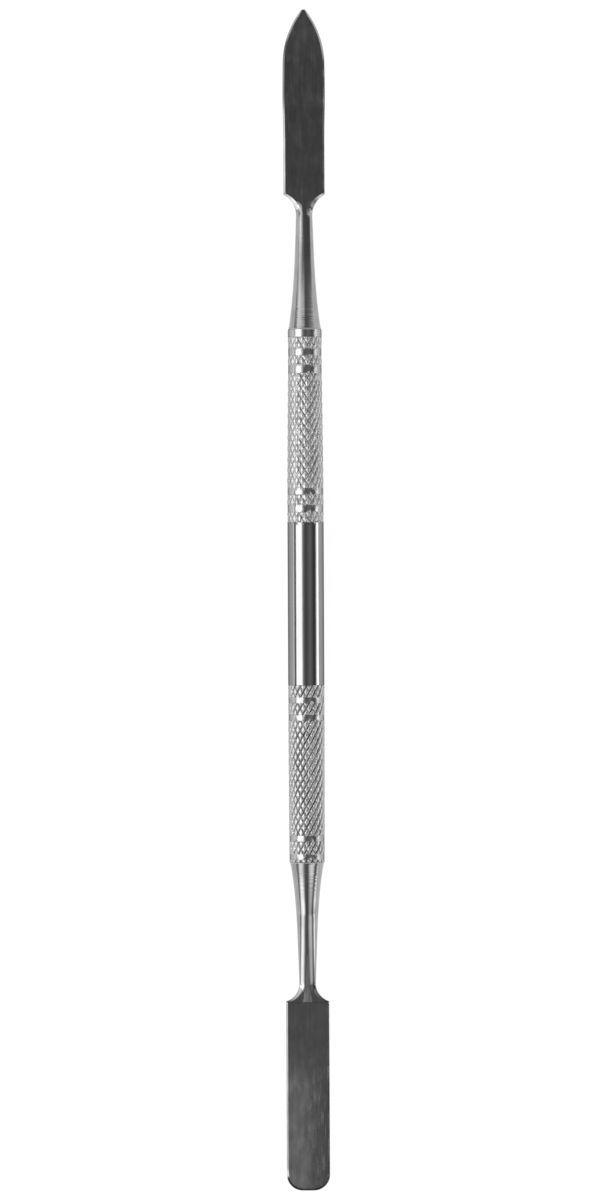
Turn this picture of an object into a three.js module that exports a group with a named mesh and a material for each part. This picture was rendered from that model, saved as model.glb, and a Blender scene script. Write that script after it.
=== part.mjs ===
// Double-ended sculpting spatula in stainless steel: a round handle with knurled grips, a leaf-shaped blade
// brazed into one end and a square-ended blade brazed into the other. Units are millimetres and +Z is up.
// The tool lies along Y with both blades flat and the leaf tip towards +Y. The origin is on the surface that
// the handle rests on, midway along the tool. The diamond knurl is not cut here: each knurled length is a
// plain one at the knurl's mean radius.
import * as THREE from "three";

// Lengths along the tool
const OVERALL_LENGTH = 178;
const LEAF_REACH = 48.2; // leaf tip to the handle's end
const SQUARE_REACH = 49.5; // square tip to the handle's end
const HANDLE_LENGTH = OVERALL_LENGTH - LEAF_REACH - SQUARE_REACH;

// Handle
const BARREL_RADIUS = 2.75;
const LEAF_END_RADIUS = 2.55;
const SQUARE_END_RADIUS = 2.67;
const KNURL_DEPTH = 0.2;
const END_CHAMFER = 0.08;
const LEAF_TAPER_FROM = 5; // the handle tapers between these distances from its leaf end
const LEAF_TAPER_TO = 24;
const SQUARE_TAPER_FROM = 59;

// Lengths of the bands, in order from the leaf end to the square end. Plain and knurled bands alternate, and
// the barrel, which is plain, is what the two lists leave of the handle.
const GRIP_LENGTH = 17.3;
const LEAF_SIDE_BANDS = [1.2, 1.7, 1.15, 1.35, 1.25, GRIP_LENGTH, 1.0, 1.5, 1.15, 1.5];
const SQUARE_SIDE_BANDS = [1.8, 0.9, 1.7, 0.9, GRIP_LENGTH, 0.9, 1.9, 0.85, 0.4];

// Tangs, the sockets drilled for them, and the brazed seams
const TANG_RADIUS = 1.25;
const TANG_LENGTH = 12;
const TANG_CHAMFER = 0.2;
const SOCKET_RADIUS = 1.3;
const SOCKET_DEPTH = 12.5;
const SEAM_THICKNESS = 0.15;
const SEAM_SETBACK = 0.08; // the braze stands this far inside the handle's rim

// Both blades' shared sizes
const NECK_RADIUS = 1.24;
const SHANK_STRAIGHT_SHARE = 0.48; // of a shank's growth from neck to rim; the rest is the flare at the rim
const BLADE_HALF_THICKNESS = 0.45;
const BEVEL_WIDTH = 0.3; // the ground bevel along each blade's edges, seen from above
const BEVEL_DROP = 0.13;

// Leaf blade. A run is a distance along the tool from the handle's end.
const LEAF_NECK_RUN = 17.2;
const LEAF_FLARE = 3.5; // the power of the flare
const LEAF_SHOULDER_ARC = 3.5;
const LEAF_SHOULDER_HALF_WIDTH = 3.1;
const LEAF_WAIST_FROM_TIP = 20; // the blade's sides run parallel from the shoulder to here
const LEAF_HALF_WIDTH = 3.2;
const LEAF_WIDEST_FROM_TIP = 12.5;
const LEAF_POINT_LENGTH = 8.3;
const LEAF_POINT_HALF_WIDTH = 3.15;
const LEAF_TIP_HALF_WIDTH = 0.25;
const LEAF_TIP_HALF_THICKNESS = 0.35;

// Square-ended blade
const SQUARE_NECK_RUN = 18.25;
const SQUARE_FLARE = 4.3;
const SQUARE_SHOULDER_ARC = 2.85;
const SQUARE_HALF_WIDTH = 3.25;
const SQUARE_CORNER_RADIUS = 2.4;
const SQUARE_THIN_LENGTH = 12; // the last stretch, which thins towards the end
const SQUARE_TIP_HALF_THICKNESS = 0.3;
const SQUARE_FLATTENS_FROM = 8; // the round shank flattens between these runs, down to the blade's thickness
const SQUARE_FLATTENS_TO = 20.85;
const SQUARE_FLATTENING = 1.5; // the power of its curve

// Facets. One facet of the handle faces straight down and one straight up.
const SIDES = 32;
const HALF_STEP = Math.PI / SIDES;
const AXIS_HEIGHT = BARREL_RADIUS * Math.cos(HALF_STEP);

const LEAF_TIP = OVERALL_LENGTH / 2;
const SQUARE_TIP = -OVERALL_LENGTH / 2;
const HANDLE_LEAF_END = LEAF_TIP - LEAF_REACH;
const HANDLE_SQUARE_END = SQUARE_TIP + SQUARE_REACH;

function metal(color, roughness) {
  return new THREE.MeshStandardMaterial({ color, roughness, metalness: 1 });
}

function lerp(from, to, share) {
  return from + (to - from) * share;
}

function clamp01(value) {
  return Math.min(1, Math.max(0, value));
}

function smoothstep(value) {
  const t = clamp01(value);
  return t * t * (3 - 2 * t);
}

function sum(lengths) {
  return lengths.reduce((total, length) => total + length, 0);
}

// Distances from one value to another in equal steps, ends included.
function steps(from, to, count) {
  return Array.from({ length: count + 1 }, (_, i) => lerp(from, to, i / count));
}

// A solid of revolution about Y from [radius, y] pairs, with a facet facing up and one facing down.
function turned(pairs) {
  const profile = pairs.map(([radius, y]) => new THREE.Vector2(radius, y));
  return new THREE.LatheGeometry(profile, SIDES, HALF_STEP);
}

// The plain radius of the handle at a distance from its leaf end, before any knurling.
function handleRadius(run) {
  if (run < LEAF_TAPER_TO) {
    const share = clamp01((run - LEAF_TAPER_FROM) / (LEAF_TAPER_TO - LEAF_TAPER_FROM));
    return lerp(LEAF_END_RADIUS, BARREL_RADIUS, share);
  }
  const share = clamp01((run - SQUARE_TAPER_FROM) / (HANDLE_LENGTH - SQUARE_TAPER_FROM));
  return lerp(BARREL_RADIUS, SQUARE_END_RADIUS, share);
}

// The handle's bands from the leaf end on, as { start, end, knurled }.
function handleBands() {
  const barrel = HANDLE_LENGTH - sum(LEAF_SIDE_BANDS) - sum(SQUARE_SIDE_BANDS);
  const lengths = [...LEAF_SIDE_BANDS, barrel, ...SQUARE_SIDE_BANDS];
  let start = 0;
  return lengths.map((length, i) => {
    const band = { start, end: start + length, knurled: i % 2 === 1 };
    start = band.end;
    return band;
  });
}

// The distances at which the handle's outline turns within one band, ends included.
function outlineRuns({ start, end }) {
  const turns = [LEAF_TAPER_FROM, LEAF_TAPER_TO, SQUARE_TAPER_FROM];
  return [start, ...turns.filter((run) => run > start && run < end), end];
}

// A round bar with a blind socket drilled in each end.
function handleGeometry() {
  const leafSocketFloor = HANDLE_LEAF_END - SOCKET_DEPTH;
  const squareSocketFloor = HANDLE_SQUARE_END + SOCKET_DEPTH;
  const outline = handleBands().flatMap((band) =>
    outlineRuns(band).map((run) => [
      handleRadius(run) - (band.knurled ? KNURL_DEPTH / 2 : 0),
      HANDLE_LEAF_END - run,
    ]),
  );
  outline[0] = [LEAF_END_RADIUS, HANDLE_LEAF_END - END_CHAMFER];
  const fromSquareEnd = [
    [0, squareSocketFloor],
    [SOCKET_RADIUS, squareSocketFloor],
    [SOCKET_RADIUS, HANDLE_SQUARE_END],
    ...outline.reverse(),
    [LEAF_END_RADIUS - END_CHAMFER, HANDLE_LEAF_END],
    [SOCKET_RADIUS, HANDLE_LEAF_END],
    [SOCKET_RADIUS, leafSocketFloor],
    [0, leafSocketFloor],
  ];
  return turned(fromSquareEnd);
}

// The ring of braze that shows as a fine line between the handle's end and a blade's shank.
function seamGeometry(handleEnd, outward, rimRadius) {
  const outer = rimRadius - SEAM_SETBACK;
  const faces = [handleEnd, handleEnd + outward * SEAM_THICKNESS].sort((a, b) => a - b);
  return turned([
    [SOCKET_RADIUS, faces[0]],
    [outer, faces[0]],
    [outer, faces[1]],
    [SOCKET_RADIUS, faces[1]],
    [SOCKET_RADIUS, faces[0]],
  ]);
}

// One cross-section of a blade piece: round at flatness 0, and a flat bar with bevelled edges at flatness 1.
// Its points run round the Y axis. None lies at the top or the bottom, which are facets, as on the handle.
function section(halfWidth, halfThickness, flatness) {
  const perQuarter = SIDES / 4;
  const bevel = Math.min(BEVEL_WIDTH, halfWidth / 2);
  const drop = Math.min(BEVEL_DROP, halfThickness / 2);
  const corner = [];
  for (let i = 0; i < perQuarter; i++) {
    const angle = (2 * i + 1) * HALF_STEP;
    const round = [halfWidth * Math.cos(angle), halfThickness * Math.sin(angle)];
    const inward = 1 - (i - 1) / (perQuarter - 1);
    const bar = i === 0 ? [halfWidth, halfThickness - drop] : [(halfWidth - bevel) * inward, halfThickness];
    corner.push([lerp(round[0], bar[0], flatness), lerp(round[1], bar[1], flatness)]);
  }
  const back = [...corner].reverse();
  return [
    ...corner,
    ...back.map(([x, z]) => [-x, z]),
    ...corner.map(([x, z]) => [-x, -z]),
    ...back.map(([x, z]) => [x, -z]),
  ];
}

// A closed solid through cross-sections, each { y, points }, given in order of rising y.
function loft(stations) {
  const count = stations[0].points.length;
  const positions = stations.flatMap(({ y, points }) => points.flatMap(([x, z]) => [x, y, z]));
  const indices = [];
  for (let s = 0; s + 1 < stations.length; s++) {
    for (let i = 0; i < count; i++) {
      const a = s * count + i;
      const b = s * count + ((i + 1) % count);
      indices.push(a, a + count, b, b, a + count, b + count);
    }
  }
  const last = (stations.length - 1) * count;
  for (let i = 1; i + 1 < count; i++) {
    indices.push(0, i, i + 1);
    indices.push(last, last + i + 1, last + i);
  }
  const geometry = new THREE.BufferGeometry();
  geometry.setAttribute("position", new THREE.Float32BufferAttribute(positions, 3));
  geometry.setIndex(indices);
  geometry.computeVertexNormals();
  return geometry;
}

// Half width of a concave shoulder arc, tangent to the neck, at a distance past the neck.
function shoulderHalfWidth(past, arc) {
  return NECK_RADIUS + arc - Math.sqrt(arc * arc - past * past);
}

// How far past the neck a shoulder arc reaches a given half width.
function shoulderLength(halfWidth, arc) {
  const rise = halfWidth - NECK_RADIUS;
  return Math.sqrt(arc * arc - (arc - rise) ** 2);
}

// Radius of a shank, which grows from the neck to the handle's rim in a cone that flares near the rim.
function shankRadius(run, neckRun, rimRadius, flare) {
  const back = 1 - run / neckRun;
  const growth = SHANK_STRAIGHT_SHARE * back + (1 - SHANK_STRAIGHT_SHARE) * back ** flare;
  return NECK_RADIUS + (rimRadius - NECK_RADIUS) * growth;
}

// Stations of the tang and the shank. A station has a run, a half width, a half thickness and a flatness.
// halfThicknessAt gives the shank's half thickness from a run and the radius there.
function shankStations(neckRun, rimRadius, flare, halfThicknessAt) {
  const plain = (run, radius, height = radius) => ({
    run,
    halfWidth: radius,
    halfThickness: height,
    flatness: 0,
  });
  return [
    plain(-TANG_LENGTH, TANG_RADIUS - TANG_CHAMFER),
    plain(TANG_CHAMFER - TANG_LENGTH, TANG_RADIUS),
    plain(SEAM_THICKNESS, TANG_RADIUS),
    ...steps(SEAM_THICKNESS, neckRun, 12).map((run) => {
      const radius = shankRadius(run, neckRun, rimRadius - SEAM_SETBACK, flare);
      return plain(run, radius, halfThicknessAt(run, radius));
    }),
  ];
}

// Stations of the shoulder, where the neck turns into a flat blade.
function shoulderStations(neckRun, arc, halfWidth, halfThicknessAt) {
  const length = shoulderLength(halfWidth, arc);
  return steps(0, length, 10)
    .slice(1)
    .map((past) => {
      const share = past / length;
      return {
        run: neckRun + past,
        halfWidth: shoulderHalfWidth(past, arc),
        halfThickness: halfThicknessAt(neckRun + past, share),
        flatness: smoothstep(share),
      };
    });
}

// The leaf's pointed end: an arc on each side, which meets the blade's side lengthwise.
function leafPointHalfWidth(fromTip) {
  const drop = LEAF_POINT_HALF_WIDTH - LEAF_TIP_HALF_WIDTH;
  const arc = (LEAF_POINT_LENGTH ** 2 + drop ** 2) / (2 * drop);
  const back = LEAF_POINT_LENGTH - fromTip;
  return LEAF_POINT_HALF_WIDTH - arc + Math.sqrt(arc * arc - back * back);
}

function leafStations() {
  const shoulderThickness = (_, share) => lerp(NECK_RADIUS, BLADE_HALF_THICKNESS, share);
  const flat = (fromTip, halfWidth, halfThickness) => ({
    run: LEAF_REACH - fromTip,
    halfWidth,
    halfThickness,
    flatness: 1,
  });
  const point = steps(LEAF_POINT_LENGTH, 0, 14).map((fromTip) => {
    const thickness = smoothstep(fromTip / LEAF_POINT_LENGTH);
    const halfThickness = lerp(LEAF_TIP_HALF_THICKNESS, BLADE_HALF_THICKNESS, thickness);
    return flat(fromTip, leafPointHalfWidth(fromTip), halfThickness);
  });
  return [
    ...shankStations(LEAF_NECK_RUN, LEAF_END_RADIUS, LEAF_FLARE, (_, radius) => radius),
    ...shoulderStations(LEAF_NECK_RUN, LEAF_SHOULDER_ARC, LEAF_SHOULDER_HALF_WIDTH, shoulderThickness),
    flat(LEAF_WAIST_FROM_TIP, LEAF_SHOULDER_HALF_WIDTH, BLADE_HALF_THICKNESS),
    flat(LEAF_WIDEST_FROM_TIP, LEAF_HALF_WIDTH, BLADE_HALF_THICKNESS),
    ...point,
  ];
}

// Half width of the square-ended blade at a distance from its tip, with its rounded corners.
function squareEndHalfWidth(fromTip) {
  const back = SQUARE_CORNER_RADIUS - Math.min(fromTip, SQUARE_CORNER_RADIUS);
  return SQUARE_HALF_WIDTH - SQUARE_CORNER_RADIUS + Math.sqrt(SQUARE_CORNER_RADIUS ** 2 - back * back);
}

// Half thickness of the square blade's shank and shoulder, from a run and the radius of a round shank there.
function squareHalfThickness(run, radius) {
  if (run < SQUARE_FLATTENS_FROM) return radius;
  const rim = SQUARE_END_RADIUS - SEAM_SETBACK;
  const thickest = shankRadius(SQUARE_FLATTENS_FROM, SQUARE_NECK_RUN, rim, SQUARE_FLARE);
  const left = clamp01((SQUARE_FLATTENS_TO - run) / (SQUARE_FLATTENS_TO - SQUARE_FLATTENS_FROM));
  return lerp(BLADE_HALF_THICKNESS, thickest, left ** SQUARE_FLATTENING);
}

function squareStations() {
  const thinning = steps(Math.PI / 2, 0, 10).map((angle) => SQUARE_CORNER_RADIUS * (1 - Math.cos(angle)));
  const end = [SQUARE_THIN_LENGTH, ...thinning].map((fromTip) => ({
    run: SQUARE_REACH - fromTip,
    halfWidth: squareEndHalfWidth(fromTip),
    halfThickness: lerp(SQUARE_TIP_HALF_THICKNESS, BLADE_HALF_THICKNESS, fromTip / SQUARE_THIN_LENGTH),
    flatness: 1,
  }));
  return [
    ...shankStations(SQUARE_NECK_RUN, SQUARE_END_RADIUS, SQUARE_FLARE, squareHalfThickness),
    ...shoulderStations(SQUARE_NECK_RUN, SQUARE_SHOULDER_ARC, SQUARE_HALF_WIDTH, squareHalfThickness),
    ...end,
  ];
}

// A blade piece with its tang, from stations measured outwards from a handle end.
function bladeGeometry(stations, handleEnd, outward) {
  const placed = stations.map(({ run, halfWidth, halfThickness, flatness }) => ({
    y: handleEnd + outward * run,
    points: section(halfWidth, halfThickness, flatness),
  }));
  return loft(outward > 0 ? placed : placed.reverse());
}

const spatula = new THREE.Group();
spatula.position.z = AXIS_HEIGHT;

function add(name, geometry, material) {
  const mesh = new THREE.Mesh(geometry, material);
  mesh.name = name;
  spatula.add(mesh);
}

const handleSteel = metal(0xb4b6b8, 0.25);
const bladeSteel = metal(0x9fa1a3, 0.3);
const braze = metal(0xc9c4b6, 0.45);

add("handle", handleGeometry(), handleSteel);
add("leaf_blade", bladeGeometry(leafStations(), HANDLE_LEAF_END, 1), bladeSteel);
add("square_blade", bladeGeometry(squareStations(), HANDLE_SQUARE_END, -1), bladeSteel);
add("leaf_braze_ring", seamGeometry(HANDLE_LEAF_END, 1, LEAF_END_RADIUS), braze);
add("square_braze_ring", seamGeometry(HANDLE_SQUARE_END, -1, SQUARE_END_RADIUS), braze);

export default spatula;
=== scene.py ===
"""Double-ended sculpting spatula, lying on a pale floor and seen from straight above.

Sizes are in millimetres. A run is a distance along the tool, outwards from one end of the
handle, or along the handle from its leaf end.
"""

import math

import bpy
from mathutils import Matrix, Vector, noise


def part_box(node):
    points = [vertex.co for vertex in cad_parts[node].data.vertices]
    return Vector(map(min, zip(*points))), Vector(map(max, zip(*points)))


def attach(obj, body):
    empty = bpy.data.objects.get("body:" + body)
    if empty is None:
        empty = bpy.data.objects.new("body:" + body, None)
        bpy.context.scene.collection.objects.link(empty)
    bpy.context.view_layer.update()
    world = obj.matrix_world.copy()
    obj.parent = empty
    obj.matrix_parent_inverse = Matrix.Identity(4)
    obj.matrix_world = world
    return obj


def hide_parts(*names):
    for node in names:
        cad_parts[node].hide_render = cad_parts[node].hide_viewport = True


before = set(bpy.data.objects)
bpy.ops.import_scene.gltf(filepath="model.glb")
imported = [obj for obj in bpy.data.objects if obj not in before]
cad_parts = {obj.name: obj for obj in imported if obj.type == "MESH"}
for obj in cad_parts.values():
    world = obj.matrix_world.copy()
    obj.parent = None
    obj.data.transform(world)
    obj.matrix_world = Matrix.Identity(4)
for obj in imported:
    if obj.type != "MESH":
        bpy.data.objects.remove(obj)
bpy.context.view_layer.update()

MM = 0.001

# Places that the frame gives
HANDLE_LOW, HANDLE_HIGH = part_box("handle")
LEAF_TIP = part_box("leaf_blade")[1].y / MM
SQUARE_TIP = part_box("square_blade")[0].y / MM
LEAF_END = HANDLE_HIGH.y / MM
SQUARE_END = HANDLE_LOW.y / MM
AXIS_HEIGHT = (HANDLE_LOW.z + HANDLE_HIGH.z) / 2 / MM
BARREL_RADIUS = (HANDLE_HIGH.z - HANDLE_LOW.z) / 2 / MM
HANDLE_LENGTH = LEAF_END - SQUARE_END
LEAF_REACH = LEAF_TIP - LEAF_END
SQUARE_REACH = SQUARE_END - SQUARE_TIP
SEAM_THICKNESS = (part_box("leaf_braze_ring")[1].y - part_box("leaf_braze_ring")[0].y) / MM

# Handle
LEAF_RIM = 2.55
SQUARE_RIM = 2.67
LEAF_TAPER = (5, 24)  # the handle tapers between these runs
SQUARE_TAPER_FROM = 59
RIM_CHAMFER = 0.08
GRIP_LENGTH = 17.3
LEAF_SIDE_BANDS = [1.2, 1.7, 1.15, 1.35, 1.25, GRIP_LENGTH, 1.0, 1.5, 1.15, 1.5]
SQUARE_SIDE_BANDS = [1.8, 0.9, 1.7, 0.9, GRIP_LENGTH, 0.9, 1.9, 0.85, 0.4]
PLAIN_ROW = 0.5
BARREL_ROWS = 8  # between the first and the last PLAIN_ROW of the barrel
PLAIN_INSET = 0.03  # from the edges of a plain band to its first and last row of points
NARROW_BAND_DROP = 0.04  # how far the narrow plain bands lie below the knurl's crests
# A narrow band's share of the knurl's finish also lightens its colour: a share of the crests' painted
# highlight
NARROW_BAND_WEAR_AND_SHEEN = 0.1  # how far a narrow plain band's finish goes towards the knurl's

# Diamond knurl: two crossing families of grooves
KNURL_STARTS = 18  # grooves of one family round the handle
KNURL_PERIOD = 1.63  # along the handle
STEPS_PER_GROOVE = 12
KNURL_ROW = KNURL_PERIOD / STEPS_PER_GROOVE
KNURL_SEGMENTS = KNURL_STARTS * STEPS_PER_GROOVE
GROOVE_SHARPNESS = 1.4  # 1 gives grooves straight walls, and more a wider mouth and a narrower floor
EDGE_DROP = 0.05  # how far the knurl falls away at the edges of a band
EDGE_LENGTH = 0.15  # over which it does
EDGE_ROWS = (0.04, 0.08, 0.12, 0.16)
# Depths of the grooves rising to the right and to the left, seen from above; half a groove's
# width as a share of the grooves' spacing, the crests between being flat; and how dark the crests'
# colour is, from 0 for the brightest to 1 for a groove's floor: partly polish, partly painted highlight
LEAF_KNURL = dict(right_depth=0.15, left_depth=0.14, half_width=0.36, crest_dullness_and_shade=0.25)
SQUARE_KNURL = dict(right_depth=0.25, left_depth=0.16, half_width=0.25, crest_dullness_and_shade=0.28)
GROOVE_WANDER = 0.07  # how far grooves stray from their helix, as a share of their spacing
DEPTH_DRIFT = 0.2  # how much the grooves' depth varies from one part of a grip to another, as a share
DEPTH_CHATTER = 0.3  # and how much from one diamond to the next
LEAST_ROW_GAP = 0.02  # rows of points nearer than this are made one

# Tangs, sockets and seams
TANG_RADIUS = 1.25
TANG_LENGTH = 12
TANG_CHAMFER = 0.2
TANG_STEP = 0.001  # the length over which the tang steps up to the shank's foot
SOCKET_RADIUS = 1.3
SOCKET_DEPTH = 12.5
SEAM_SETBACK = 0.08
SEAM_BULGE = 0.04
SEAM_UNEVENNESS = 0.015
SEAM_SEGMENTS = 96

# Blades and shanks
NECK_RADIUS = 1.24
SHANK_STRAIGHT_SHARE = 0.48
TURNING_MARKS = (2, 6)  # the runs between which the shank's turning marks fade out
BLADE_HALF_THICKNESS = 0.45
NECK_BEVEL = 0.9
LEAF_BEVEL = 0.27
SQUARE_BEVEL = 0.25
BUFFED_BEVEL = 0.38
# Over the same span the painted shade along the edge fades out
BUFFED_FROM_TIP = (1.6, 3.2)  # between which the edge round the square end turns from buffed to ground
BEVEL_SLOPE = math.radians(32.5)
POINT_BEVEL_SLOPE = math.radians(37)
SHOULDER_BEVEL_SLOPE = math.radians(23)
BUFFED_SLOPE = math.radians(6)  # of the edge round the square end
POINT_SLOPE_FROM_TIP = (12.5, 16)  # between which the leaf's bevel turns steeper
TIP_BEVEL_SHARE = 0.35  # how wide the leaf's bevel is at its tip, as a share of its full width
TIP_BEVEL_LENGTH = 1.2  # over which it would grow by its full width
EDGE_ROUNDING = 0.05
EDGE_MOST_HEIGHT = 0.9  # of a wall and bevel together, as a share of half the thickness
SHOULDER_FLATTENING = 1.6  # how many times sooner than the shoulder's end the section is flat
LEAF = dict(
    neck=17.2,
    flare=3.5,
    shoulder_arc=3.5,
    shoulder_half_width=3.1,
    waist_from_tip=20,
    half_width=3.2,
    widest_from_tip=12.5,
    point_length=8.3,
    point_half_width=3.15,
    tip_half_width=0.25,
)
SQUARE = dict(
    neck=18.25,
    flare=4.3,
    shoulder_arc=2.85,
    half_width=3.25,
    corner_radius=2.4,
    thin_length=12,
)
FLATTEN = (8, 20.85)  # the runs between which the square blade's shank flattens
FLATTENING = 1.5  # the power of its curve
RAMP = (13, 20.85)  # the runs between which its top is left rough from the forge
RAMP_HALF_WIDTHS = (0.06, 0.27, 0.8)  # at its start, at the neck and at its end
RAMP_SATIN = 1.5
RAMP_SATIN_LENGTH = 1.5  # over which the ramp turns rough
LEAF_TIP_HALF_THICKNESS = 0.35
SQUARE_TIP_HALF_THICKNESS = 0.3
SQUARE_SATIN = [(0.25, 27, 19), (0.75, 23.5, 13.5)]  # steps in roughness between distances from the tip
RIB_SHARE = 0.45  # usual half width of a section's middle strip, as a share of the section's
RIB_MOST = 0.7  # and its most, as a share of half the width between the bevels
# Rows of points along a quarter of a section: its rounded edge, its bevel, the face beside the
# middle strip, and the strip
ROUND_STEPS = 7
PLANE_STEPS = 3
FLANK_STEPS = 9
CROWN_STEPS = 7
WALL_ANGLE = math.radians(6)  # on a round section, how far up the edge wall of the flat section lies
SHOULDER_ANGLE = math.radians(34)  # and how far up its bevel ends

# Camera
FRAME_HEIGHT = 180.9
LENS = 200
SENSOR = 36
TOOL_LEAN = math.radians(0.26)
FRAME_CENTRE = (-0.89, 0)

# Floor
FLOOR_HALF_SIZE = 20_000

# Looks, as linear brightness
HANDLE_GREY = 0.3
BLADE_GREY = 0.37
FLOOR_GREY = 0.1
FLOOR_GLOW = 0.95
HORIZON = 1.2
HORIZON_FADE = (0.06, 0.03)  # how high, as the direction's z, the sky turns into the horizon
SKY_PEAK = 4.1  # the brightest that the sky may be


# ---------------------------------------------------------------- small helpers


def lerp(a, b, share):
    return a + (b - a) * share


def clamp01(value):
    return min(1.0, max(0.0, value))


def smoothstep(value):
    t = clamp01(value)
    return t * t * (3 - 2 * t)


def share_between(ends, value):
    """How far a value is from the first end to the second: 0 at the first and 1 at the second."""
    return (value - ends[0]) / (ends[1] - ends[0])


def steps(start, end, count):
    """Numbers from start to end in equal steps, ends included."""
    return [lerp(start, end, i / count) for i in range(count + 1)]


def blend_points(a, b, share):
    """The point that lies a share of the way from point a to point b."""
    return tuple(lerp(from_a, to_b, share) for from_a, to_b in zip(a, b))


def steps_between(a, b, count):
    """Points in equal steps from point a to point b, without a."""
    return [blend_points(a, b, share) for share in steps(0, 1, count)[1:]]


def mesh_object(name, points, faces, attributes=None, sharp_angle=20):
    """A mesh object from points in millimetres. attributes holds lists of one number for each
    point, which the materials read by name."""
    mesh = bpy.data.meshes.new(name)
    mesh.from_pydata([(x * MM, y * MM, z * MM) for x, y, z in points], [], faces)
    mesh.validate()
    mesh.polygons.foreach_set("use_smooth", [True] * len(mesh.polygons))
    mesh.set_sharp_from_angle(angle=math.radians(sharp_angle))
    for attribute, values in (attributes or {}).items():
        mesh.attributes.new(attribute, "FLOAT", "POINT").data.foreach_set("value", values)
    obj = bpy.data.objects.new(name, mesh)
    bpy.context.scene.collection.objects.link(obj)
    return obj


def tube_faces(ring_count, ring_size):
    """Quads between rings of points, and a flat face over the first ring and the last."""
    faces = []
    for r in range(ring_count - 1):
        for i in range(ring_size):
            a = r * ring_size + i
            b = r * ring_size + (i + 1) % ring_size
            faces.append((a, b, b + ring_size, a + ring_size))
    faces.append(tuple(reversed(range(ring_size))))
    faces.append(tuple(range((ring_count - 1) * ring_size, ring_count * ring_size)))
    return faces


# ---------------------------------------------------------------- handle


def handle_radius(run):
    """The handle's plain radius, before any knurling."""
    if run < LEAF_TAPER[1]:
        return lerp(LEAF_RIM, BARREL_RADIUS, clamp01(share_between(LEAF_TAPER, run)))
    square_taper = (SQUARE_TAPER_FROM, HANDLE_LENGTH)
    return lerp(BARREL_RADIUS, SQUARE_RIM, clamp01(share_between(square_taper, run)))


def handle_bands():
    """(start, end, knurled) for each band from the leaf end on."""
    barrel = HANDLE_LENGTH - sum(LEAF_SIDE_BANDS) - sum(SQUARE_SIDE_BANDS)
    bands = []
    start = 0
    for i, length in enumerate([*LEAF_SIDE_BANDS, barrel, *SQUARE_SIDE_BANDS]):
        bands.append((start, start + length, i % 2 == 1))
        start += length
    return bands


def groove(turns, half_width):
    """Depth share of one family of grooves: 1 along a groove's floor and 0 along the crest
    between two. turns counts the grooves, and is a whole number along each floor."""
    return clamp01(1 - abs(turns - round(turns)) / half_width) ** GROOVE_SHARPNESS


def knurl_at(run):
    return LEAF_KNURL if run < HANDLE_LENGTH / 2 else SQUARE_KNURL


def knurl_depth(angle, run, start, end):
    """Depth of the knurl at an angle round the handle, in radians from the top towards +X."""
    x, z = math.sin(angle), math.cos(angle)
    wander = GROOVE_WANDER * noise.noise((x * 3, run * 0.9, z * 3))
    turns = angle / math.tau * KNURL_STARTS
    pitch = run / KNURL_PERIOD
    knurl = knurl_at(run)
    uneven = 1 + DEPTH_DRIFT * noise.noise((x * 1.2, run * 0.35, z * 1.2))
    uneven += DEPTH_CHATTER * noise.noise((x * 4, run * 1.3, z * 4))
    rising_right = knurl["right_depth"] * groove(turns + pitch + wander, knurl["half_width"])
    rising_left = knurl["left_depth"] * groove(turns - pitch + wander, knurl["half_width"])
    cut = uneven * max(rising_right, rising_left)
    last_band = math.isclose(end, HANDLE_LENGTH, abs_tol=0.01)
    to_edge = run - start if last_band else min(run - start, end - run)
    return max(cut, EDGE_DROP * (1 - clamp01(to_edge / EDGE_LENGTH)))


def is_barrel(start, end):
    """The barrel is the one band that is longer than a grip."""
    return end - start > GRIP_LENGTH


def band_rows(start, end, knurled):
    """The runs at which a band has a row of points. The next band gives the row at its end."""
    if not knurled:
        first, last = start + PLAIN_INSET, end - PLAIN_INSET
        if is_barrel(start, end):
            return [first, *steps(first + PLAIN_ROW, last - PLAIN_ROW, BARREL_ROWS), last]
        return steps(first, last, max(1, math.ceil((end - start) / PLAIN_ROW)))
    rows = {start}
    for k in range(math.ceil(start / KNURL_ROW), math.ceil(end / KNURL_ROW)):
        rows.add(k * KNURL_ROW)
    for edge in EDGE_ROWS:
        rows.update(r for r in (start + edge, end - edge) if start < r < end)
    ordered = sorted(rows)
    kept = [ordered[0]]
    for row in ordered[1:]:
        if row - kept[-1] > LEAST_ROW_GAP:
            kept.append(row)
    return kept


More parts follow.
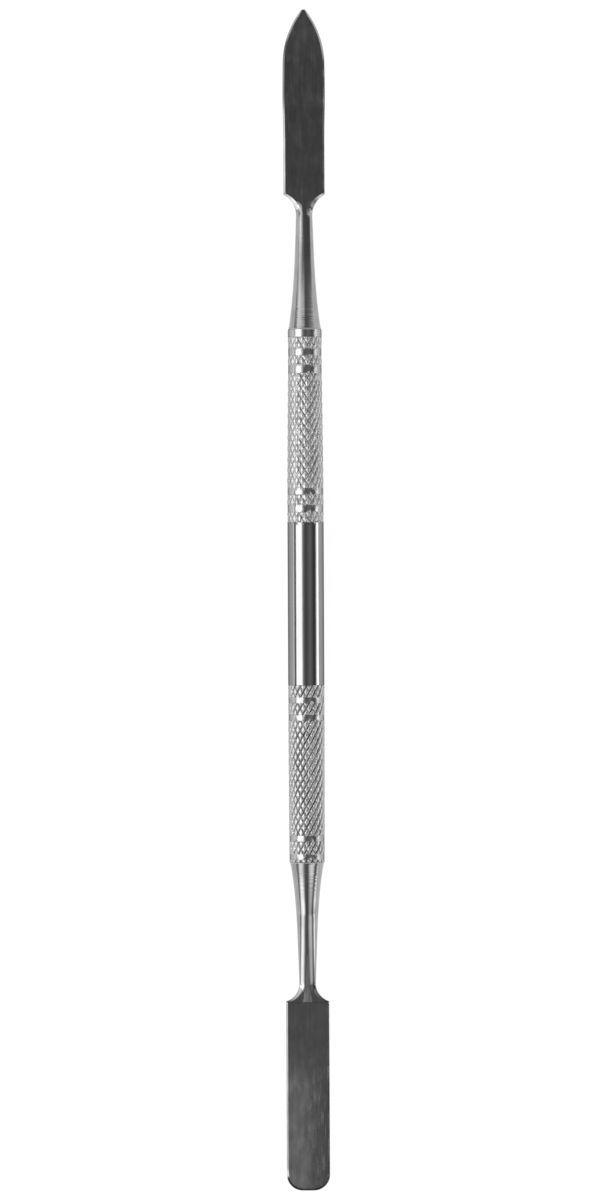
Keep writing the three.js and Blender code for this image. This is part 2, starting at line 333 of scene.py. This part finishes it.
def make_handle():
    points, values = [], []

    def add_ring(radius_at, run, value_at=lambda angle: 0.0):
        for i in range(KNURL_SEGMENTS):
            angle = math.tau * i / KNURL_SEGMENTS
            radius = radius_at(angle)
            x, z = radius * math.sin(angle), AXIS_HEIGHT + radius * math.cos(angle)
            points.append((x, LEAF_END - run, z))
            values.append(value_at(angle))

    def add_plain_ring(radius, run, value=0.0):
        add_ring(lambda angle: radius, run, lambda angle: value)

    def add_knurled_ring(run, start, end):
        deepest = SQUARE_KNURL["right_depth"]
        crest_dullness_and_shade = knurl_at(run)["crest_dullness_and_shade"]
        plain = handle_radius(run)
        # Besides the groove depth, these values set the painted highlight on the crests and the painted
        # shade in the grooves
        add_ring(
            lambda angle: plain - knurl_depth(angle, run, start, end),
            run,
            lambda angle: lerp(crest_dullness_and_shade, 1, clamp01(knurl_depth(angle, run, start, end) / deepest)),
        )

    add_plain_ring(SOCKET_RADIUS, SOCKET_DEPTH)
    add_plain_ring(SOCKET_RADIUS, 0)
    add_plain_ring(LEAF_RIM - RIM_CHAMFER, 0)
    for start, end, knurled in handle_bands():
        for run in band_rows(start, end, knurled):
            if knurled:
                add_knurled_ring(run, start, end)
            else:
                barrel = is_barrel(start, end)
                drop = 0.0 if barrel or start == 0 else NARROW_BAND_DROP
                # A narrow band also takes a share of the knurl crests' painted highlight
                worn = 0.0 if barrel else NARROW_BAND_WEAR_AND_SHEEN
                add_plain_ring(handle_radius(run) - drop, max(run, RIM_CHAMFER), worn)
    last_start, last_end, _ = handle_bands()[-1]
    add_knurled_ring(last_end - RIM_CHAMFER / 2, last_start, last_end)
    add_plain_ring(SQUARE_RIM - 2 * RIM_CHAMFER, last_end)
    add_plain_ring(SOCKET_RADIUS, HANDLE_LENGTH)
    add_plain_ring(SOCKET_RADIUS, HANDLE_LENGTH - SOCKET_DEPTH)
    faces = tube_faces(len(points) // KNURL_SEGMENTS, KNURL_SEGMENTS)
    return mesh_object("knurled_handle", points, faces, {"depth": values}, sharp_angle=35)


# ---------------------------------------------------------------- blades


class Station:
    """One cross-section of a blade piece. It blends from a round section to a flat bar with
    bevelled edges. A strip along its middle, whose half width is rib, may have its own roughness.
    Where ground is set, that strip is flat even on a round section. satin and rib_satin are how
    rough the face and the strip are. The edge may be painted darker: painted shade standing in for the dark
    that it reflects."""

    def __init__(self, run, half_width, half_thickness, flatness=0.0, bevel=SQUARE_BEVEL, **more):
        self.run = run
        self.half_width = half_width
        self.half_thickness = half_thickness
        self.flatness = flatness
        self.bevel = bevel
        self.slope = more.get("slope", BEVEL_SLOPE)
        self.rib = more.get("rib", half_width * RIB_SHARE)
        self.ground = more.get("ground", False)
        self.satin = more.get("satin", 0.0)
        self.rib_satin = more.get("rib_satin", self.satin)
        self.edge_shade = more.get("edge_shade", 0.0)
        self.inward = (-1.0, 0.0)

    def quarter(self):
        """Points (x, run, z, satin, painted edge shade) from the edge at mid thickness to the middle of the
        top.
        """
        points = [
            blend_points(round_point, flat_point, self.flatness)
            for round_point, flat_point in zip(self.round_quarter(), self.flat_quarter())
        ]
        on_edge = 1 + ROUND_STEPS + PLANE_STEPS
        satin = [0.0] * on_edge + [self.satin] * (1 + FLANK_STEPS) + [self.rib_satin] * CROWN_STEPS
        edge_shade = [self.edge_shade] * on_edge + [0.0] * (1 + FLANK_STEPS + CROWN_STEPS)
        return [(*point, *values) for point, *values in zip(points, satin, edge_shade)]

    def round_quarter(self):
        rib_angle = math.acos(self.rib / self.half_width)
        angles = [0, *steps(WALL_ANGLE, SHOULDER_ANGLE, ROUND_STEPS + PLANE_STEPS)]
        angles += steps(SHOULDER_ANGLE, rib_angle, FLANK_STEPS)[1:]
        made = [
            (self.half_width * math.cos(a), self.run, self.half_thickness * math.sin(a))
            for a in angles
        ]
        for x in steps(self.rib, 0, CROWN_STEPS)[1:]:
            crown = self.rib if self.ground else x
            height = self.half_thickness * math.sqrt(1 - (crown / self.half_width) ** 2)
            made.append((x, self.run, height))
        return made

    def edge_profile(self):
        """(distance inwards, z) over the edge: its wall, a small rounding and the bevel up to the face."""
        top = math.pi / 2 - self.slope
        bevel, rounding = self.bevel, EDGE_ROUNDING
        height = (bevel - rounding * (1 - math.cos(top))) * math.tan(self.slope) + rounding * math.sin(top)
        shrink = min(1, EDGE_MOST_HEIGHT * self.half_thickness / height)
        bevel, rounding, height = bevel * shrink, rounding * shrink, height * shrink
        foot = self.half_thickness - height
        made = [(0, 0)]
        for a in steps(0, top, ROUND_STEPS):
            made.append((rounding * (1 - math.cos(a)), foot + rounding * math.sin(a)))
        made += steps_between(made[-1], (bevel, self.half_thickness), PLANE_STEPS)
        return made

    def flat_quarter(self):
        made = [
            (self.half_width + inset * self.inward[0], self.run + inset * self.inward[1], z)
            for inset, z in self.edge_profile()
        ]
        inner = made[-1]
        rib = (min(self.rib, inner[0] * RIB_MOST), inner[1], self.half_thickness)
        made += steps_between(inner, rib, FLANK_STEPS)
        made += [(x, inner[1], self.half_thickness) for x in steps(rib[0], 0, CROWN_STEPS)[1:]]
        return made


def full_ring(quarter):
    """The whole section from one quarter: over the top from the +X edge, then back underneath."""
    top = quarter + [(-x, *rest) for x, *rest in reversed(quarter[:-1])]
    under = [(x, run, -z, *values) for x, run, z, *values in reversed(top[1:-1])]
    return top + under


def set_inward(stations):
    """Gives each station the direction into the blade, square to the outline, in which its bevel
    runs. At a corner it is the mitre of both sides."""
    places = [(s.half_width, s.run) for s in stations]
    places.append((0.0, stations[-1].run))
    normals = []
    for (x0, run0), (x1, run1) in zip(places, places[1:]):
        length = math.hypot(x1 - x0, run1 - run0)
        normals.append(((run1 - run0) / length, -(x1 - x0) / length))
    for i, station in enumerate(stations):
        before = normals[max(0, i - 1)]
        after = normals[i]
        mitre = 1 + before[0] * after[0] + before[1] * after[1]
        station.inward = (-(before[0] + after[0]) / mitre, -(before[1] + after[1]) / mitre)


def shank_radius(run, sizes, rim):
    back = 1 - run / sizes["neck"]
    growth = SHANK_STRAIGHT_SHARE * back + (1 - SHANK_STRAIGHT_SHARE) * back ** sizes["flare"]
    return NECK_RADIUS + (rim - NECK_RADIUS) * growth


def shoulder_outline(sizes, half_width, count):
    """(run, half width) along the concave shoulder arc from the neck to the blade's corner."""
    arc = sizes["shoulder_arc"]
    rise = half_width - NECK_RADIUS
    turn = math.acos((arc - rise) / arc)
    return [
        (sizes["neck"] + arc * math.sin(a), NECK_RADIUS + arc * (1 - math.cos(a)))
        for a in steps(0, turn, count)[1:]
    ]


def tang_stations():
    tip_radius = TANG_RADIUS - TANG_CHAMFER
    return [
        Station(-TANG_LENGTH, tip_radius, tip_radius),
        Station(TANG_CHAMFER - TANG_LENGTH, TANG_RADIUS, TANG_RADIUS),
        Station(SEAM_THICKNESS - TANG_STEP, TANG_RADIUS, TANG_RADIUS),
    ]


def leaf_point_half_width(from_tip):
    drop = LEAF["point_half_width"] - LEAF["tip_half_width"]
    arc = (LEAF["point_length"] ** 2 + drop**2) / (2 * drop)
    back = LEAF["point_length"] - from_tip
    return LEAF["point_half_width"] - arc + math.sqrt(arc * arc - back * back)


def leaf_half_width(from_tip):
    """Half width of the leaf blade from its shoulder corners to its tip."""
    if from_tip < LEAF["point_length"]:
        return leaf_point_half_width(from_tip)
    if from_tip < LEAF["widest_from_tip"]:
        share = share_between((LEAF["point_length"], LEAF["widest_from_tip"]), from_tip)
        return lerp(LEAF["point_half_width"], LEAF["half_width"], math.sin(share * math.pi / 2))
    share = share_between((LEAF["widest_from_tip"], LEAF["waist_from_tip"]), from_tip)
    return lerp(LEAF["half_width"], LEAF["shoulder_half_width"], smoothstep(share))


def leaf_stations():
    stations = tang_stations()
    for run in steps(SEAM_THICKNESS, LEAF["neck"], 48):
        radius = shank_radius(run, LEAF, LEAF_RIM - SEAM_SETBACK)
        stations.append(Station(run, radius, radius))
    shoulder = shoulder_outline(LEAF, LEAF["shoulder_half_width"], 24)
    for run, half_width in shoulder:
        share = (run - LEAF["neck"]) / (shoulder[-1][0] - LEAF["neck"])
        half_thickness = lerp(NECK_RADIUS, BLADE_HALF_THICKNESS, share)
        bevel = lerp(NECK_BEVEL, LEAF_BEVEL, share)
        flatness = smoothstep(SHOULDER_FLATTENING * share)
        slope = SHOULDER_BEVEL_SLOPE
        stations.append(Station(run, half_width, half_thickness, flatness, bevel, slope=slope))
    corner = LEAF_REACH - shoulder[-1][0]
    tip_steps = [LEAF["point_length"] * (1 - math.cos(a)) for a in steps(math.pi / 2, 0, 44)]
    for from_tip in [*steps(corner, LEAF["point_length"], 60)[1:], *tip_steps[1:]]:
        full = smoothstep(from_tip / LEAF["point_length"])
        half_thickness = lerp(LEAF_TIP_HALF_THICKNESS, BLADE_HALF_THICKNESS, full)
        bevel = LEAF_BEVEL * clamp01(TIP_BEVEL_SHARE + from_tip / TIP_BEVEL_LENGTH)
        past_point = smoothstep(share_between(POINT_SLOPE_FROM_TIP, from_tip))
        slope = lerp(POINT_BEVEL_SLOPE, BEVEL_SLOPE, past_point)
        half_width = leaf_half_width(from_tip)
        run = LEAF_REACH - from_tip
        stations.append(Station(run, half_width, half_thickness, 1, bevel, slope=slope))
    return stations


def square_end_half_width(from_tip):
    radius = SQUARE["corner_radius"]
    back = radius - min(from_tip, radius)
    return SQUARE["half_width"] - radius + math.sqrt(radius * radius - back * back)


def ramp_half_width(run):
    start, at_neck, at_end = RAMP_HALF_WIDTHS
    if run < SQUARE["neck"]:
        return lerp(start, at_neck, clamp01(share_between((RAMP[0], SQUARE["neck"]), run)))
    return lerp(at_neck, at_end, clamp01(share_between((SQUARE["neck"], RAMP[1]), run)))


def square_height(run, radius):
    """Half thickness of the square blade's shank and shoulder. radius is that of a round shank there."""
    if run < FLATTEN[0]:
        return radius
    thickest = shank_radius(FLATTEN[0], SQUARE, SQUARE_RIM - SEAM_SETBACK)
    left = 1 - clamp01(share_between(FLATTEN, run))
    return lerp(BLADE_HALF_THICKNESS, thickest, left**FLATTENING)


def square_satin(from_tip):
    """How rough the square blade's face is: more and more towards its end."""
    satin = 0.0
    for step, start, end in SQUARE_SATIN:
        satin += step * smoothstep(share_between((start, end), from_tip))
    return satin


def square_stations():
    stations = tang_stations()
    for run in steps(SEAM_THICKNESS, SQUARE["neck"], 72):
        radius = shank_radius(run, SQUARE, SQUARE_RIM - SEAM_SETBACK)
        round_rib = lerp(radius * RIB_SHARE, RAMP_HALF_WIDTHS[0], smoothstep(run / RAMP[0]))
        on_ramp = run > RAMP[0]
        more = dict(
            rib=ramp_half_width(run) if on_ramp else round_rib,
            ground=on_ramp,
            rib_satin=RAMP_SATIN * smoothstep((run - RAMP[0]) / RAMP_SATIN_LENGTH),
        )
        stations.append(Station(run, radius, square_height(run, radius), **more))
    shoulder = shoulder_outline(SQUARE, SQUARE["half_width"], 36)
    for run, half_width in shoulder:
        share = (run - SQUARE["neck"]) / (shoulder[-1][0] - SQUARE["neck"])
        more = dict(
            rib=ramp_half_width(run),
            ground=True,
            rib_satin=RAMP_SATIN if run < RAMP[1] else 0.0,
            slope=SHOULDER_BEVEL_SLOPE,
        )
        half_thickness = square_height(run, half_width)
        bevel = lerp(NECK_BEVEL, SQUARE_BEVEL, share)
        flatness = smoothstep(SHOULDER_FLATTENING * share)
        stations.append(Station(run, half_width, half_thickness, flatness, bevel, **more))
    corner = SQUARE_REACH - shoulder[-1][0]
    radius = SQUARE["corner_radius"]
    end_steps = [radius * (1 - math.cos(a)) for a in steps(math.pi / 2, 0, 32)]
    for from_tip in [*steps(corner, radius, 90)[1:], *end_steps[1:]]:
        thin = 1 - clamp01(from_tip / SQUARE["thin_length"])
        sharp = smoothstep(share_between(BUFFED_FROM_TIP, from_tip))
        # The buffed edge near the end is painted darker: painted shade standing in for the dark that it
        # reflects
        more = dict(
            rib=RAMP_HALF_WIDTHS[2],
            satin=square_satin(from_tip),
            slope=lerp(BUFFED_SLOPE, BEVEL_SLOPE, sharp),
            edge_shade=1 - sharp,
        )
        half_thickness = lerp(BLADE_HALF_THICKNESS, SQUARE_TIP_HALF_THICKNESS, thin)
        half_width = square_end_half_width(from_tip)
        bevel = lerp(BUFFED_BEVEL, SQUARE_BEVEL, sharp)
        stations.append(Station(SQUARE_REACH - from_tip, half_width, half_thickness, 1, bevel, **more))
    return stations


def make_blade(name, stations, handle_end, outward):
    """A closed blade piece through its stations. Its last ring is pressed flat onto the tip's plane."""
    set_inward(stations)
    tip = stations[-1]
    wall = tip.half_thickness - tip.bevel * math.tan(tip.slope)
    rings = [full_ring(station.quarter()) for station in stations]
    pressed = [(x, tip.run, max(-wall, min(wall, z)), 0.0, tip.edge_shade) for x, _, z, *_ in rings[-1]]
    rings.append(pressed)
    points, flatness, satins, edge_shades, turned = [], [], [], [], []
    for ring, station in zip(rings, [*stations, tip]):
        for x, run, z, satin, edge_shade in ring:
            points.append((x, handle_end + outward * run, AXIS_HEIGHT + z))
            flatness.append(station.flatness)
            satins.append(satin)
            edge_shades.append(edge_shade)
            turned.append(1 - smoothstep(share_between(TURNING_MARKS, station.run)))
    faces = tube_faces(len(rings), len(rings[0]))
    if outward > 0:
        faces = [tuple(reversed(face)) for face in faces]
    attributes = {"flatness": flatness, "satin": satins, "edge_shade": edge_shades, "turned": turned}
    return mesh_object(name, points, faces, attributes, sharp_angle=9)


# ---------------------------------------------------------------- braze rings


def make_seam(name, handle_end, outward, rim):
    """A ring of braze with a slightly bulging, uneven outer face."""
    outer = rim - SEAM_SETBACK
    profile = [(SOCKET_RADIUS, 0.0), (outer - SEAM_BULGE, 0.0)]
    for a in steps(0, math.pi, 6)[1:-1]:
        profile.append((outer - SEAM_BULGE * abs(math.cos(a)) ** 3, 0.5 - 0.5 * math.cos(a)))
    profile += [(outer - SEAM_BULGE, 1.0), (SOCKET_RADIUS, 1.0)]
    points = []
    for i in range(SEAM_SEGMENTS):
        angle = math.tau * i / SEAM_SEGMENTS
        uneven = SEAM_UNEVENNESS * noise.noise((3 * math.sin(angle), handle_end, 3 * math.cos(angle)))
        for radius, across in profile:
            r = radius + (uneven if radius > SOCKET_RADIUS else 0)
            y = handle_end + outward * across * SEAM_THICKNESS
            points.append((r * math.sin(angle), y, AXIS_HEIGHT + r * math.cos(angle)))
    size = len(profile)
    faces = []
    for i in range(SEAM_SEGMENTS):
        for j in range(size):
            a = i * size + j
            b = i * size + (j + 1) % size
            c = (i + 1) % SEAM_SEGMENTS * size + (j + 1) % size
            d = (i + 1) % SEAM_SEGMENTS * size + j
            faces.append((a, b, c, d) if outward < 0 else (d, c, b, a))
    return mesh_object(name, points, faces, sharp_angle=50)


# ---------------------------------------------------------------- materials


class Nodes:
    """The empty node tree of a new material or world, with short calls to add and join nodes."""

    def __init__(self, owner):
        self.owner = owner
        self.owner.use_nodes = True
        self.tree = self.owner.node_tree
        self.tree.nodes.clear()

    def add(self, kind, inputs=None, **settings):
        node = self.tree.nodes.new(kind)
        for key, value in settings.items():
            setattr(node, key, value)
        for key, value in (inputs or {}).items():
            self.set(node.inputs[key], value)
        return node

    def set(self, socket, value):
        if isinstance(value, bpy.types.NodeSocket):
            self.tree.links.new(value, socket)
        else:
            socket.default_value = value

    def millimetres(self, scale):
        """Object coordinates in millimetres, times a scale for each axis."""
        place = self.add("ShaderNodeTexCoord").outputs["Object"]
        size = [s / MM for s in scale]
        return self.add("ShaderNodeMapping", {"Vector": place, "Scale": size}).outputs["Vector"]

    def noise(self, scale, detail=3.0, roughness=0.55):
        """Noise of one cycle or so for each 1/scale millimetres along each axis."""
        place = self.millimetres(scale)
        inputs = {"Vector": place, "Scale": 1.0, "Detail": detail, "Roughness": roughness}
        return self.add("ShaderNodeTexNoise", inputs).outputs["Fac"]

    def range(self, value, low, high, to_low=0.0, to_high=1.0):
        """Turns low to high into to_low to to_high, and keeps what lies past them at the ends."""
        inputs = {"Value": value, "From Min": low, "From Max": high, "To Min": to_low, "To Max": to_high}
        return self.add("ShaderNodeMapRange", inputs).outputs["Result"]

    def math(self, operation, a, b):
        return self.add("ShaderNodeMath", {0: a, 1: b}, operation=operation).outputs["Value"]

    def mix(self, share, a, b):
        return self.add("ShaderNodeMix", {0: share, 2: a, 3: b}, data_type="FLOAT").outputs[0]

    def mix_colours(self, share, a, b):
        return self.add("ShaderNodeMix", {0: share, 6: a, 7: b}, data_type="RGBA").outputs[2]

    def colour(self, red, green, blue):
        inputs = {"Red": red, "Green": green, "Blue": blue}
        return self.add("ShaderNodeCombineColor", inputs).outputs["Color"]

    def grey(self, value):
        return self.colour(value, value, value)

    def across_mm(self):
        """How far a point lies from the tool's middle, towards +X."""
        place = self.add("ShaderNodeTexCoord").outputs["Object"]
        x = self.add("ShaderNodeSeparateXYZ", {"Vector": place}).outputs["X"]
        return self.math("DIVIDE", x, MM)

    def attribute(self, name):
        return self.add("ShaderNodeAttribute", attribute_name=name).outputs["Fac"]

    def bump(self, height, distance_mm, normal=None):
        """A normal over bumps of a height in millimetres, on top of another normal's."""
        node = self.add("ShaderNodeBump", {"Height": height, "Distance": distance_mm * MM, "Strength": 1.0})
        if normal:
            self.set(node.inputs["Normal"], normal)
        return node.outputs["Normal"]

    def finish(self, colour, roughness, normal, **more):
        inputs = {"Base Color": colour, "Roughness": roughness, "Normal": normal, "Metallic": 1.0, **more}
        shader = self.add("ShaderNodeBsdfPrincipled", inputs)
        self.add("ShaderNodeOutputMaterial", {"Surface": shader.outputs["BSDF"]})
        return self.owner


def handle_steel():
    nodes = Nodes(bpy.data.materials.new("turned_knurled_steel"))
    depth = nodes.attribute("depth")  # 0 on the barrel, and 1 at the bottom of the deepest groove
    knurled = nodes.range(depth, 0.0, 0.25)
    lines = nodes.noise((0.1, 9, 0.1), detail=4)
    waves = nodes.noise((0.5, 0.4, 0.5), detail=2)
    stains = nodes.noise((0.25, 0.12, 0.25), detail=3)
    grit = nodes.noise((5, 5, 5), detail=3)
    shade = nodes.range(stains, 0.3, 0.7, HANDLE_GREY * 0.95, HANDLE_GREY * 1.05)
    # Knurl crests lighter and grooves darker in colour: partly real polish and dirt, partly a painted
    # highlight on the crests and painted shade in the grooves. The narrow plain bands take a share of the
    # lightening.
    crest_sheen_and_groove_shade = nodes.mix(knurled, 1.0, nodes.range(depth, 0.25, 0.95, 2.1, 0.5))
    colour = nodes.grey(nodes.math("MULTIPLY", shade, crest_sheen_and_groove_shade))
    polish = nodes.range(lines, 0.3, 0.7, 0.05, 0.1)
    roughness = nodes.math("ADD", polish, nodes.math("MULTIPLY", knurled, 0.18))
    normal = nodes.bump(waves, 0.012)
    normal = nodes.bump(lines, 0.0012, normal=normal)
    normal = nodes.bump(nodes.math("MULTIPLY", grit, knurled), 0.05, normal=normal)
    return nodes.finish(colour, roughness, normal, **{"Specular Tint": (0.3, 0.3, 0.3, 1)})


def blade_steel():
    nodes = Nodes(bpy.data.materials.new("ground_blade_steel"))
    flat = nodes.attribute("flatness")
    satin = nodes.attribute("satin")
    edge_shade = nodes.attribute("edge_shade")
    turned = nodes.attribute("turned")
    brushed = nodes.noise((6, 0.12, 1), detail=4)
    chatter = nodes.noise((3.6, 0.3, 1), detail=5)
    lines = nodes.noise((0.1, 7, 0.1), detail=4)
    rings = nodes.noise((0.1, 2.6, 0.1), detail=1)
    stains = nodes.noise((0.9, 0.4, 0.6), detail=5)
    smears = nodes.noise((0.8, 0.35, 0.6), detail=4)
    shade = nodes.range(stains, 0.3, 0.7, BLADE_GREY * 0.86, BLADE_GREY * 1.1)
    streaks = nodes.range(brushed, 0.3, 0.7, 0.93, 1.05)
    # Painted shade: the buffed edge round the square end is darkened in colour, standing in for the dark
    # that it reflects
    painted_edge_shade = nodes.range(edge_shade, 0.0, 1.0, 1.0, 0.4)
    colour = nodes.grey(nodes.math("MULTIPLY", nodes.math("MULTIPLY", shade, streaks), painted_edge_shade))
    polish = nodes.range(brushed, 0.3, 0.7, 0.05, 0.1)
    smeared = nodes.math("MULTIPLY", flat, nodes.range(smears, 0.45, 0.7, 0.02, 0.1))
    across = nodes.across_mm()
    chattered = nodes.range(chatter, 0.48, 0.62, 0.0, 0.17)
    worn = nodes.mix(nodes.range(across, -0.6, 2.6), 0.19, chattered)
    clouded = nodes.math("ADD", polish, smeared)
    roughness = nodes.math("ADD", clouded, nodes.math("MULTIPLY", satin, worn))
    grain = nodes.mix(flat, lines, brushed)
    normal = nodes.bump(grain, 0.001)
    normal = nodes.bump(nodes.math("MULTIPLY", rings, turned), 0.03, normal=normal)
    return nodes.finish(colour, roughness, normal)


def silver_braze():
    nodes = Nodes(bpy.data.materials.new("silver_braze"))
    grain = nodes.noise((3, 3, 3), detail=4)
    shade = nodes.range(grain, 0.3, 0.7, 0.42, 0.52)
    warm = nodes.colour(shade, shade, nodes.math("MULTIPLY", shade, 0.95))
    roughness = nodes.range(grain, 0.3, 0.7, 0.38, 0.5)
    return nodes.finish(warm, roughness, nodes.bump(grain, 0.004))


def pale_floor():
    nodes = Nodes(bpy.data.materials.new("pale_floor"))
    cloud = nodes.noise((0.01, 0.01, 0.01), detail=2)
    colour = nodes.grey(nodes.range(cloud, 0.3, 0.7, FLOOR_GREY - 0.01, FLOOR_GREY + 0.01))
    glow = {"Emission Color": (1, 1, 1, 1), "Emission Strength": FLOOR_GLOW}
    matt = {"Metallic": 0.0, "Specular IOR Level": 0.0}
    return nodes.finish(colour, 0.7, nodes.bump(cloud, 0.01), **matt, **glow)


# ---------------------------------------------------------------- studio

# Brightness of the studio round the tool. Each row is for one lean of the direction along +Y, as
# the direction's y. Its pairs are an angle in degrees from straight up across the tool, towards
# +X, and the brightness there.
END_SKY = [(-90, 1.1), (90, 1.0)]
SQUARE_FAR_SKY = [
    (-90, 1.0), (-60, 1.0), (-40, 1.5), (-26, 0.9), (-16, 0.18), (12, 0.13), (24, 0.4),
    (36, 0.9), (60, 1.0), (90, 1.0),
]
SQUARE_RIM_SKY = [
    (-90, 1.0), (-76, 0.35), (-67, 0.35), (-59, 1.35), (-44, 1.85), (-35, 1.5), (-20, 0.45),
    (-8, 0.22), (4, 0.17), (10, 0.4), (17, 1.25), (31, 1.75), (45, 1.7), (56, 1.2),
    (64, 0.3), (74, 0.15), (82, 1.0),
]
SQUARE_MID_SKY = [
    (-90, 0.8), (-76, 0.3), (-69, 0.5), (-62, 1.5), (-54, 2.2), (-44, 2.1), (-34, 1.35),
    (-25, 0.5), (-16, 0.18), (4, 0.17), (11, 0.35), (18, 0.85), (28, 1.27), (45, 1.27),
    (53, 0.6), (60, 0.1), (68, 0.1), (77, 0.7), (85, 1.5),
]
SQUARE_NEAR_SKY = [
    (-90, 1.1), (-77, 0.4), (-69, 0.5), (-60, 2.4), (-40, 2.8), (-31, 2.2), (-22, 0.65),
    (-13, 0.16), (2, 0.12), (10, 0.25), (21, 0.7), (31, 1.0), (42, 0.62), (52, 0.17),
    (60, 0.25), (70, 1.9), (77, 2.7), (84, 2.3), (90, 1.4),
]
SQUARE_FACE_SKY = [
    (-90, 1.6), (-84, 1.8), (-76, 0.8), (-70, 0.9), (-60, 2.1), (-28, 3.3), (-20, 0.75),
    (-12, 0.3), (-3, 0.18), (5, 0.16), (13, 0.2), (24, 0.25), (36, 0.18), (50, 0.09),
    (80, 0.1), (90, 1.2),
]
BARREL_SKY = [
    (-90, 1.6), (-83, 1.8), (-79, 0.9), (-76, 0.25), (-67, 0.25), (-62, 3.3), (-28, 3.3),
    (-20, 0.75), (-12, 0.3), (-3, 0.18), (5, 0.17), (13, 0.24), (24, 0.35), (36, 0.26),
    (50, 0.09), (60, 0.12), (64, 0.3), (70, 1.8), (76, 3.5), (90, 3.7),
]
LEAF_FACE_SKY = [
    (-90, 1.6), (-84, 1.8), (-78, 0.8), (-72, 0.7), (-65, 2.1), (-60, 3.3), (-28, 3.3),
    (-20, 0.75), (-12, 0.26), (-3, 0.12), (5, 0.09), (24, 0.18), (50, 0.09), (80, 0.1),
    (90, 1.2),
]
LEAF_NECK_SKY = [
    (-90, 0.75), (-72, 0.9), (-56, 1.4), (-46, 1.15), (-37, 0.5), (-27, 0.2), (-17, 0.12),
    (60, 0.12), (71, 0.2), (82, 0.55), (90, 0.85),
]
LEAF_MID_SKY = [
    (-90, 0.8), (-77, 0.4), (-64, 1.2), (-51, 1.85), (-40, 1.45), (-28, 1.0), (-8, 0.8),
    (1, 0.35), (9, 0.18), (24, 0.19), (45, 0.28), (60, 0.45), (73, 0.75), (85, 1.2),
]
LEAF_RIM_SKY = [
    (-90, 1.0), (-80, 0.35), (-68, 0.25), (-60, 0.9), (-52, 1.55), (-28, 1.37), (-7, 1.0),
    (2, 0.4), (9, 0.17), (16, 0.19), (29, 0.33), (46, 0.43), (60, 0.65), (76, 1.07),
]
LEAF_FAR_SKY = [
    (-90, 1.0), (-60, 1.0), (-40, 1.4), (-28, 1.0), (-18, 0.15), (20, 0.12), (34, 0.2),
    (50, 0.6), (62, 1.0), (90, 1.0),
]
SKY = [
    (-0.8, END_SKY),
    (-0.5, SQUARE_FAR_SKY),
    (-0.42, SQUARE_RIM_SKY),
    (-0.29, SQUARE_MID_SKY),
    (-0.17, SQUARE_NEAR_SKY),
    (-0.12, SQUARE_FACE_SKY),
    (-0.058, SQUARE_FACE_SKY),
    (-0.045, BARREL_SKY),
    (0.03, BARREL_SKY),
    (0.06, LEAF_FACE_SKY),
    (0.095, LEAF_FACE_SKY),
    (0.125, LEAF_NECK_SKY),
    (0.2, LEAF_MID_SKY),
    (0.335, LEAF_RIM_SKY),
    (0.42, LEAF_FAR_SKY),
    (0.65, LEAF_FAR_SKY),
    (0.8, END_SKY),
]


def make_floor():
    size = FLOOR_HALF_SIZE
    points = [(-size, -size, 0), (size, -size, 0), (size, size, 0), (-size, size, 0)]
    floor = mesh_object("floor", points, [(0, 1, 2, 3)])
    floor.data.materials.append(pale_floor())


def sky_row(nodes, place, stops):
    """One row of the sky, over places from 0 at -X to 1 at +X."""
    ramp = nodes.add("ShaderNodeValToRGB", {"Fac": place})
    for _ in stops[2:]:
        ramp.color_ramp.elements.new(0.5)
    for element, (angle, level) in zip(ramp.color_ramp.elements, stops):
        element.position = 0.5 + angle / 180
        element.color = (level / SKY_PEAK, level / SKY_PEAK, level / SKY_PEAK, 1)
    return ramp.outputs["Color"]


def make_world():
    """The studio as a sky, built row by row along Y, with a bright horizon all round."""
    nodes = Nodes(bpy.data.worlds.new("studio"))
    direction = nodes.add("ShaderNodeTexCoord").outputs["Generated"]
    x, y, z = nodes.add("ShaderNodeSeparateXYZ", {"Vector": direction}).outputs
    place = nodes.range(nodes.math("ARCTAN2", x, z), -math.pi / 2, math.pi / 2)
    colour = sky_row(nodes, place, SKY[0][1])
    for (lean_before, _), (lean, stops) in zip(SKY, SKY[1:]):
        share = nodes.range(y, lean_before, lean)
        colour = nodes.mix_colours(share, colour, sky_row(nodes, place, stops))
    horizon = HORIZON / SKY_PEAK
    low = nodes.range(z, HORIZON_FADE[0], HORIZON_FADE[1])
    colour = nodes.mix_colours(low, colour, (horizon, horizon, horizon, 1))
    background = nodes.add("ShaderNodeBackground", {"Color": colour, "Strength": SKY_PEAK})
    nodes.add("ShaderNodeOutputWorld", {"Surface": background.outputs["Background"]})
    bpy.context.scene.world = nodes.owner


def make_camera():
    data = bpy.data.cameras.new("camera")
    data.lens = LENS
    data.sensor_width = SENSOR
    data.clip_start = 0.01
    data.clip_end = 100
    camera = bpy.data.objects.new("camera", data)
    distance = FRAME_HEIGHT * MM * LENS / SENSOR
    x, y = FRAME_CENTRE
    camera.location = (x * MM, y * MM, AXIS_HEIGHT * MM + distance)
    camera.rotation_euler = (0, 0, -TOOL_LEAN)
    bpy.context.scene.collection.objects.link(camera)
    bpy.context.scene.camera = camera


# ---------------------------------------------------------------- assembly


def add_piece(piece, node, material):
    piece.data.materials.append(material)
    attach(piece, "root")
    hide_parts(node)


make_camera()
make_floor()
make_world()
bpy.context.scene.view_settings.view_transform = "Standard"

add_piece(make_handle(), "handle", handle_steel())
blade_material = blade_steel()
leaf_end = make_blade("leaf_end", leaf_stations(), LEAF_END, 1)
add_piece(leaf_end, "leaf_blade", blade_material)
square_end = make_blade("square_end", square_stations(), SQUARE_END, -1)
add_piece(square_end, "square_blade", blade_material)
braze_material = silver_braze()
leaf_seam = make_seam("leaf_seam", LEAF_END, 1, LEAF_RIM)
add_piece(leaf_seam, "leaf_braze_ring", braze_material)
square_seam = make_seam("square_seam", SQUARE_END, -1, SQUARE_RIM)
add_piece(square_seam, "square_braze_ring", braze_material)
